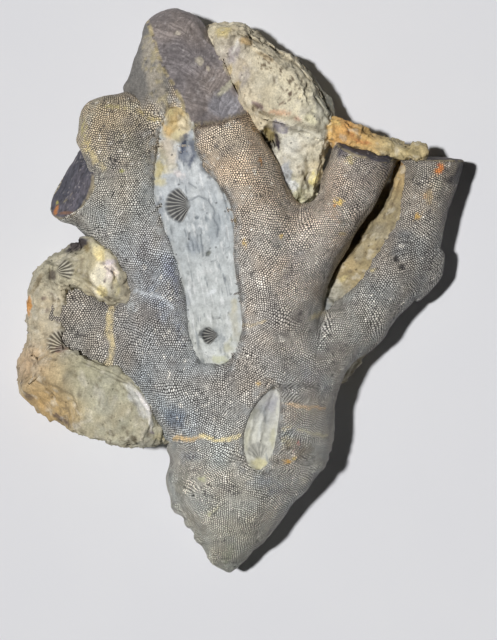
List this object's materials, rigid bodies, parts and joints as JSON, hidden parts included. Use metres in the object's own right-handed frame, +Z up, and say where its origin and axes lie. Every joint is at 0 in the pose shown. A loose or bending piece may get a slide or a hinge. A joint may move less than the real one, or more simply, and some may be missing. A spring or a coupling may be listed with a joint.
{
  "type": "fossil bryozoan",
  "caption": "Branching bryozoan fossil in grey stone, forked like an open hand from a pointed stem, with broken branch ends and patches of beige matrix.",
  "frame": {"origin": "on the ground under the middle of the bounding box, the fossil lying flat on its back", "axes": "+X across the fan of branches, +Y from the pointed stem to the branch tips, +Z up out of the best-preserved side"},
  "size_m": [0.0603, 0.0765, 0.019],
  "materials": {
    "colony_stone": "grey fossil stone covered in fine pores, matt with a faint waxy sheen",
    "matrix_stone": "beige limestone, rough and pitted, stained orange in places",
    "infill_stone": "pale blue-grey hardened mud, smooth, with ribbed shell prints"
  },
  "bodies": {
    "root": {"stem": "colony_stone", "left_trunk": "colony_stone", "left_branch": "colony_stone", "lower_left_branch": "colony_stone", "centre_branch": "colony_stone", "right_branch": "colony_stone", "far_right_branch": "colony_stone", "left_matrix": "matrix_stone", "upper_matrix": "matrix_stone", "ledge_matrix": "matrix_stone", "channel_matrix": "matrix_stone", "lower_right_matrix": "matrix_stone", "centre_matrix": "infill_stone", "lens_matrix": "infill_stone"}
  },
  "joints": []
}
